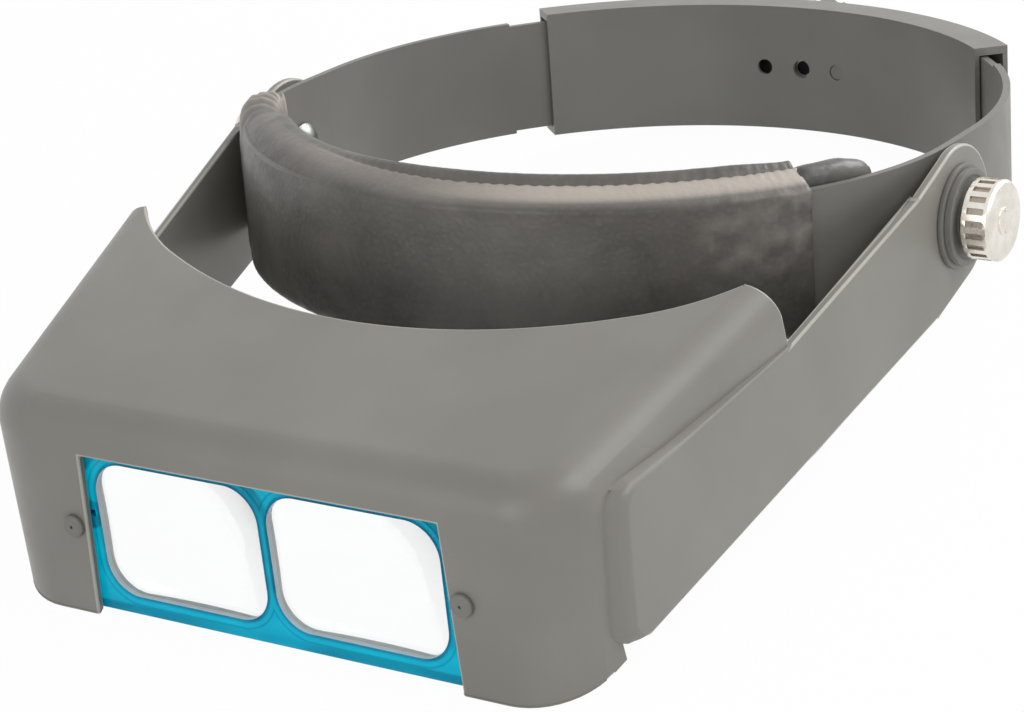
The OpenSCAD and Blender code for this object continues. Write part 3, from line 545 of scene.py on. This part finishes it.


# %% [markdown]
# ## Visor hood
# On the real object this is one thin moulding. Its rims keep a narrow rounding that catches a line of
# light, and that line is also painted on them in a paler colour, as a painted highlight. Where a side
# panel stands proud of the hood, the panel's edge is rounded much more, and the rounding runs out with
# the step itself, so its width follows from how high the step is at each place.

# %% Hood with a painted highlight on its rims and soft side panels
# All in the visor's frame and in millimetres, as in the CAD, with "ahead" counted from the pivots.
# The panel's outer face at the arm's end, where its lean starts, the lean and the panel's foot:
ARM_OUT, ARM_FLAT, PANEL_LEAN, PANEL_LOW = 95.7, 17, tan(radians(6.748)), -14.5
# The hood's own wall behind the panel: its width at the rear, where that is, and how fast it narrows.
HOOD_REAR_W, REAR_W_REACH, SIDE_SLOPE = 177, 70, 0.16418
# How far ahead the notch between arm and panel is, and from where on step and lean are looked for:
NOTCH_REACH = 69.5
STEP_FROM, LEAN_FROM = NOTCH_REACH + 3, NOTCH_REACH + 6
# The widest rounding, the rims' rounding, and the share of the step's height that is rounded:
STEP_ROUND, RIM_ROUND, STEP_SHARE = 2.0, 0.55, 0.45
# The corner below the panel's foot: from and to how far ahead, and below what height.
FOOT_FROM, FOOT_TO, FOOT_LOW = 134.5, 140.5, -14.2
# How near to the step a point still counts as on it, for the wall and for the panel's border.
ON_WALL, ON_BORDER = 0.6, 0.3
# The lean of the panel's edge as shares of the step's height, and where it sets in.
LEAN_BACK, LEAN_DOWN, LEAN_AHEAD, LEAN_HEIGHT = 0.65, 0.25, (124, 136), (-2, 4)


def panel_face(ahead):
    """How far aside the outer face of the arm and panel is."""
    return ARM_OUT - (ahead - ARM_FLAT) * PANEL_LEAN


def hood_wall(ahead):
    """How far aside the hood's own wall is."""
    return HOOD_REAR_W / 2 - (ahead - REAR_W_REACH) * SIDE_SLOPE


def step_height(place):
    """How far the side panel stands proud of the hood's wall at a place, and 0 away from the step."""
    ahead, aside = -place.y, abs(place.x)
    if ahead < STEP_FROM or place.z < PANEL_LOW or aside < hood_wall(ahead) - ON_WALL:
        return 0
    return panel_face(ahead) - hood_wall(ahead)


def hood_share(first, second, stands_out):
    """The rounding of one sharp edge of the hood, as a part of the widest."""
    middle = VISOR.inverted() @ ((first + second) / 2) / MM
    height = step_height(middle)
    # Below the panel's foot the deeper front wall ends in a corner that is too narrow to round.
    if FOOT_FROM < -middle.y < FOOT_TO and middle.z < FOOT_LOW:
        return 0
    if height > 0 and stands_out:
        return min(1, STEP_SHARE * height / STEP_ROUND)
    if height > 0 and abs(middle.x) < panel_face(-middle.y) - height + ON_WALL:
        return 0
    return RIM_ROUND / STEP_ROUND


hood = cleaned_copy("visor_hood", "visor_hood_shell", merge_mm=0.04)
# The panel's edge leans: its outer corners are drawn back from the border, by a share of the step.
for vertex in hood.data.vertices:
    at = VISOR.inverted() @ vertex.co / MM
    ahead, side = -at.y, 1 if at.x > 0 else -1
    height = panel_face(ahead) - hood_wall(ahead)
    if ahead > LEAN_FROM and abs(abs(at.x) - panel_face(ahead)) < ON_BORDER:
        back = LEAN_BACK * height * ease(ahead, *LEAN_AHEAD)
        down = LEAN_DOWN * height * ease(at.z, *LEAN_HEIGHT)
        vertex.co = VISOR @ ((at + Vector((side * back * PANEL_LEAN, back, -down))) * MM)
# Slot 1 marks the rounded edges, of which those away from the step get a painted highlight as rims.
hood.data.materials.append(hood_plastic)
hood.data.materials.append(rim_highlight_plastic)
soften(hood, STEP_ROUND, hood_share, segments=4, clamp=False, rounded_slot=1)
rims = [face.index for face in hood.data.polygons
        if face.material_index == 1 and not step_height(VISOR.inverted() @ face.center / MM)]
hand_over(hood, hood_plastic, "visor", "hood_plastic", "visor_hood")
hood.data.materials.append(rim_highlight_plastic)
for index in rims:
    hood.data.polygons[index].material_index = 1

# %% [markdown]
# ## Pad
# A foam roll lies inside the band. One cover of vinyl is pulled over the roll and the band together:
# down the band's outer face it is flat, at the band's upper edge it folds, a tight strip climbs from
# the fold to the roll, and a crease lies between the strip and the roll's round top. At the wearer's
# right the cover is gathered together; at the left it is simply cut, and the roll comes out of it.

# %% The band's line in plan, which roll and cover both follow
FOREHEAD_R, SIDE_R, HALF_W, BAND_FRONT, BAND_T = 101, 72, 92, 76, 1.8
forehead_y = FOREHEAD_R - BAND_FRONT
side_x = HALF_W - SIDE_R
side_y = forehead_y - sqrt((FOREHEAD_R - SIDE_R) ** 2 - side_x ** 2)
TURN = atan2(side_x, forehead_y - side_y)


def on_band(angle, out, height):
    """A point in the band's frame in millimetres: the direction that the band faces there, the distance
    out from its outer face, and the height."""
    if abs(angle) <= TURN:
        centre, radius = Vector((0, forehead_y)), FOREHEAD_R
    else:
        centre, radius = Vector((side_x * (1 if angle > 0 else -1), side_y)), SIDE_R
    reach = radius + out
    return Vector((centre.x + reach * sin(angle), centre.y - reach * cos(angle), height))


def off_band(point):
    """The reverse of on_band for a point in the band's frame in millimetres."""
    angle = atan2(point.x, forehead_y - point.y)
    if abs(angle) <= TURN:
        return angle, Vector((point.x, point.y - forehead_y)).length - FOREHEAD_R, point.z
    side = 1 if point.x > 0 else -1
    angle = atan2(point.x - side * side_x, side_y - point.y)
    return angle, Vector((point.x - side * side_x, point.y - side_y)).length - SIDE_R, point.z


# %% Foam roll, inflated as cloth
# The cloth's pressure, for how many frames it swells, and the most that it may swell, in millimetres:
PRESSURE, FRAMES, MOST_SWELL = 4, 20, 2.5
# Between which degrees along the band each change comes in. Angles grow towards the wearer's left.
ROLL_SINKS, COVER_ENDS, ROLL_CLOSES, ROLL_THINS = (46, 72), (51, 55), (-76, -60), (-58, -42)
roll = cleaned_copy("pad_cushion", "forehead_roll")
modify(roll, "REMESH", mode="VOXEL", voxel_size=2.4 * MM)
modify(roll, "SMOOTH", factor=0.5, iterations=3)
before = [vertex.co.copy() for vertex in roll.data.vertices]
only(roll)
cloth = roll.modifiers.new("cloth", "CLOTH")
cloth.settings.use_pressure = True
cloth.settings.uniform_pressure_force = PRESSURE
cloth.settings.effector_weights.gravity = 0
for step in range(1, FRAMES + 1):
    bpy.context.scene.frame_set(step)
bpy.ops.object.modifier_apply(modifier=cloth.name)
bpy.context.scene.frame_set(1)
for vertex, old in zip(roll.data.vertices, before):
    moved = vertex.co - old
    vertex.co = old + moved * min(1, MOST_SWELL * MM / max(moved.length, 1e-9))

to_band = BAND.inverted()
for vertex in roll.data.vertices:
    angle, out, height = off_band(to_band @ vertex.co / MM)
    turned = degrees(angle)
    # The roll sinks a little towards its free end.
    height *= 1 - 0.05 * ease(turned, *ROLL_SINKS)
    covered = 1 - ease(turned, *COVER_ENDS)
    closing = 1 - ease(turned, *ROLL_CLOSES)
    thinner = 1 - ease(turned, *ROLL_THINS)
    # Where it is covered, it stays between the cover's roof and floor and in front of its inner wall.
    roof = min(18.0 - 3 * thinner, 14.6 - 0.42 * out)
    inner_wall = -11.9 + 3.6 * thinner + 2.4 * closing
    height += (max(-roof, min(roof, height)) - height) * covered
    out += (max(inner_wall, out) - out) * covered
    crease = 0.3 * (1 - covered) * noise.noise(Vector((turned * 0.2, height * 0.14, 3)))
    behind = min(out + crease, -BAND_T - 0.3)
    vertex.co = BAND @ (on_band(angle, behind, height * (1 - 0.3 * closing)) * MM)
modify(roll, "SUBSURF", levels=1, render_levels=1)
bpy.ops.object.shade_smooth()
hand_over(roll, vinyl, "headband", "vinyl", "pad_cushion")

# %% Sections of the cover: distance out from the band's outer face, and height, in millimetres
CUT_SECTION = [
    (0.8, -17.8), (1.4, -16.8), (1.3, -14), (1.1, -10), (1.0, -5), (1.0, 0), (1.0, 5), (1.1, 10),
    (1.2, 13.6), (1.2, 15.3), (0.5, 16.1), (-1.5, 17.0), (-4.2, 18.2), (-6.4, 19.0), (-7.1, 18.5),
    (-8.1, 19.8), (-9.6, 20.6), (-11.0, 20.2), (-12.2, 18.4), (-12.6, 14.5), (-12.8, 8), (-12.8, 0),
    (-12.8, -8), (-12.5, -14.5), (-11.6, -18.8), (-9.0, -20.5), (-5.0, -20.0), (-1.8, -18.8)]
ROUND_SECTION = [
    (0.8, -17.8), (1.4, -16.8), (1.4, -14), (1.3, -10), (1.3, -5), (1.3, 0), (1.3, 5), (1.1, 9),
    (0.5, 12.6), (-0.4, 15.2), (-1.8, 17.2), (-3.4, 18.6), (-5.1, 19.5), (-6.6, 20.0), (-7.7, 20.2),
    (-8.8, 20.3), (-10.0, 20.1), (-11.2, 19.4), (-12.2, 17.6), (-12.6, 14), (-12.8, 8), (-12.8, 0),
    (-12.8, -8), (-12.5, -14.5), (-11.6, -18.8), (-9.0, -20.5), (-5.0, -20.0), (-1.8, -18.8)]
# From and to which degree the cover reaches, its rounds along that, and its points per section step:
COVER_FROM, COVER_TO, ROUNDS, PER_STEP = -75, 53.6, 210, 4
# How thick the vinyl is:
VINYL_T = 0.7
# The steps round a section at which the bright fold and the crease lie:
FOLD_STEP, CREASE_STEP = 12, 14
# Between which degrees the cover goes over from round to cut, lies gathered, closes, grows thin, is
# pressed flat and sinks on top of the roll:
TO_CUT, GATHERED, CLOSES = (-32, 4), (-70, -52), (-76, -62)
THINS, PRESSED, SINKS = (-60, -44), (30, 40), (40, 54)
# How fast the phase of the pleats, and of the puckers in the crease, runs along the band:
PLEATS, PUCKERS = 78, 190
# Further in than this, the section lies round the roll and no longer round the band:
ROUND_ROLL = -3.0


def along_section(section, step):
    """A point on the smooth closed curve through a section's points, at a step or part of one."""
    start, part = int(step), step - int(step)
    before, here, after, beyond = (Vector(section[(start + i) % len(section)]) for i in (-1, 0, 1, 2))
    return (here + (after - before) * part / 2
            + (before * 2 - here * 5 + after * 4 - beyond) * part ** 2 / 2
            + (here * 3 - before - after * 3 + beyond) * part ** 3 / 2)


def cover_point(turned, step):
    """Where the cover's outer skin is, and how much painted highlight it gets there."""
    rounded = 1 - ease(turned, *TO_CUT)
    out, height = along_section(CUT_SECTION, step).lerp(along_section(ROUND_SECTION, step), rounded)
    upper = ease(height, 4, 17)
    # Gathers at the wearer's right: the cloth bunches up, stands out and closes behind the roll.
    gathered = 1 - ease(turned, *GATHERED)
    closing = 1 - ease(turned, *CLOSES)
    thinner = 1 - ease(turned, *THINS)
    pleat = sin(radians(turned) * PLEATS + height * 0.16 + out * 0.55)
    out += thinner * 0.33 * max(0, ROUND_ROLL - out)
    height -= thinner * upper * 2.2 * ease(-out, 2, 8)
    out += gathered * (2.9 + 0.75 * pleat * upper) * (1 if out > ROUND_ROLL else 0.4)
    out += closing * 0.5 * max(0, ROUND_ROLL - out)
    height += gathered * upper * (1.1 + 0.7 * pleat) - closing * 0.12 * height
    # Small puckers along the crease, broader wrinkles where the cut end was pressed flat.
    puckered = exp(-((step - CREASE_STEP) / 1.6) ** 2) * (1 - rounded)
    wander = 2 * noise.noise(Vector((turned * 0.3, 0, 0)))
    height += puckered * 0.22 * sin(radians(turned) * PUCKERS + wander)
    pressed = ease(turned, *PRESSED) * (1 if step < FOLD_STEP else 0.3)
    grain = noise.noise(Vector((turned * 0.42, height * 0.24, 7)))
    grain += 0.5 * noise.noise(Vector((turned, height * 0.6, 2)))
    out += grain * (0.10 + 0.22 * pressed)
    height -= 0.9 * ease(turned, *SINKS) * (1 if CREASE_STEP < step < 19 else 0)
    # Painted highlight along the fold and over the gathers, and a fainter one on the upper half of the
    # band's face and on the pressed wrinkles.
    pale = max(exp(-((step - FOLD_STEP) / 1.25) ** 4) * ease(turned, -18, 22),
               0.9 * gathered * ease(height, 6, 16) * (0.75 + 0.25 * pleat),
               0.35 * exp(-((step - FOLD_STEP - 0.5) / 2.2) ** 2) * ease(turned, -70, -20))
    pale = max(pale, 0.08 * ease(height, -9, 3) * (1 if step < 9 else 0))
    pale = max(pale, 0.22 * pressed * ease(height, -6, 4) * (0.7 + grain))
    return on_band(radians(turned), out, height), min(1, max(0, pale))


# %% Cover of vinyl over roll and band
AROUND = len(CUT_SECTION) * PER_STEP
bpy.ops.mesh.primitive_grid_add(x_subdivisions=AROUND, y_subdivisions=ROUNDS, size=2)
cover = bpy.context.object
cover.name = cover.data.name = "vinyl_cover"
# Each point stores its share of the painted highlight.
painted_highlight = cover.data.attributes.new("painted_highlight", "FLOAT", "POINT")
for vertex in cover.data.vertices:
    turned = COVER_FROM + (COVER_TO - COVER_FROM) * (vertex.co.y + 1) / 2
    step = round((vertex.co.x + 1) / 2 * AROUND) % AROUND / PER_STEP
    vertex.co, painted_highlight.data[vertex.index].value = cover_point(turned, step)
# The grid's two long edges meet, and become one seam.
only(cover)
bpy.ops.object.mode_set(mode="EDIT")
bpy.ops.mesh.select_all(action="SELECT")
bpy.ops.mesh.remove_doubles(threshold=0.01)
bpy.ops.mesh.normals_make_consistent(inside=False)
bpy.ops.object.mode_set(mode="OBJECT")
modify(cover, "SOLIDIFY", thickness=VINYL_T, offset=-1, use_even_offset=False)
settle(cover, BAND)
bpy.ops.object.shade_smooth()
hand_over(cover, vinyl, "headband", "vinyl", "pad_wrap")

# %% [markdown]
# ## Rigid pieces
# These keep their CAD shape, and their edges are softened by what a mould or tool leaves. The punched
# straps and the hidden metal parts keep the CAD's sharp edges.

# %% Band and straps
# The real band is one strip that bends. The CAD parts it at each temple so that the size can change,
# and here the two ends are drawn together across that split, so that the band looks whole at rest.
# The straight temple ends at TEMPLE_END, and the split is a little behind its middle. What is left of
# the gap is too narrow to see.
TEMPLE_END, SPLIT_SHIFT, SPLIT_GAP, GAP_LEFT = 18, 1, 0.5, 0.02
SEAM = (side_y + TEMPLE_END) / 2 + SPLIT_SHIFT + SPLIT_GAP / 2


def at_seam(point):
    """Whether a point is on an end face at a temple."""
    at = to_band @ point / MM
    return abs(at.y - SEAM) < SPLIT_GAP and abs(at.x) > HALF_W - BAND_T - 0.5


def strip(node, body, edge_mm):
    """Shows the band or a strap, whole at the temples."""
    piece = cleaned_copy(node, node + "_shown")
    for vertex in piece.data.vertices:
        if at_seam(vertex.co):
            at = to_band @ vertex.co / MM
            at.y = SEAM + GAP_LEFT / 2 * (1 if at.y > SEAM else -1)
            vertex.co = BAND @ (at * MM)
    soften(piece, edge_mm,
           lambda first, second, stands_out: 0 if at_seam(first) and at_seam(second) else 1)
    hand_over(piece, band_plastic, body, "band_plastic", node)


strip("front_band", "headband", 0.4)
# The straps are punched and their racks are fine, so their edges stay sharp.
strip("left_strap", "left_rear_strap", 0)
strip("right_strap", "right_rear_strap", 0)

# %% Housing
softened("housing_shell", fitting_plastic, "rear_unit", "hood_plastic", 0.35)
softened("housing_cover", fitting_plastic, "rear_unit", "hood_plastic", 0.3)

# %% Lens plate, lenses and their studs
facing = (FACE.to_3x3() @ Vector((0, 1, 0))).normalized()
# Walls that are less than this outside a lens opening belong to it.
LIP = 0.5


def past_opening(place):
    """How far a place is outside the nearer lens opening, in millimetres."""
    at = FACE.inverted() @ place / MM
    aside = max(0, abs(abs(at.x) - LENS_PITCH / 2) - LENS_W / 2 + LENS_CORNER)
    raised = max(0, abs(at.z + LENS_DROP + LENS_H / 2) - LENS_H / 2 + LENS_CORNER)
    return sqrt(aside ** 2 + raised ** 2) - LENS_CORNER


def is_wall(face):
    """Whether a face of the plate or of a lens looks sideways, not forwards or backwards."""
    return abs(face.normal.dot(facing)) < 0.5


plate = softened("lens_frame", teal_acrylic, "visor", "teal_plastic", 0.45)
# The walls of the openings are ground, where the lenses are cemented in.
plate.data.materials.append(ground_acrylic)
for face in plate.data.polygons:
    face.material_index = int(is_wall(face) and past_opening(face.center) < LIP)
for side in ("left", "right"):
    lens = softened(side + "_lens", clear_acrylic, "visor", "lens_glass", 0.25)
    lens.data.materials.append(ground_acrylic)
    for face in lens.data.polygons:
        face.material_index = int(is_wall(face))
    softened(side + "_lens_stud", fitting_plastic, "visor", "hood_plastic", 0.15)
refinish("stud_clips", steel)

# %% Pivot stacks
for side in ("left", "right"):
    softened(side + "_pivot_bolt", zinc, "headband", "zinc", 0.2)
    softened(side + "_spacer", fitting_plastic, "headband", "hood_plastic", 0.2)
    softened(side + "_arm_washer", fitting_plastic, "visor", "hood_plastic", 0.3)
    softened(side + "_knob_washer", fitting_plastic, side + "_clamp", "hood_plastic", 0.2)
    softened(side + "_thumb_knob", nickel, side + "_knob", "nickel", 0.15)

# %% Rear knob and the mechanism inside the housing
softened("rear_knob", band_plastic, "adjuster", "band_plastic", 0.3)
softened("rear_knob_cap", fitting_plastic, "adjuster", "hood_plastic", 0.2)
refinish("knob_axle", black_oxide)
refinish("rear_pinion", steel)
refinish("detent_spring", steel)

# %% [markdown]
# ## Finish
# The render shows the colours through the standard view transform.

# %% Finish
bpy.context.scene.view_settings.view_transform = "Standard"
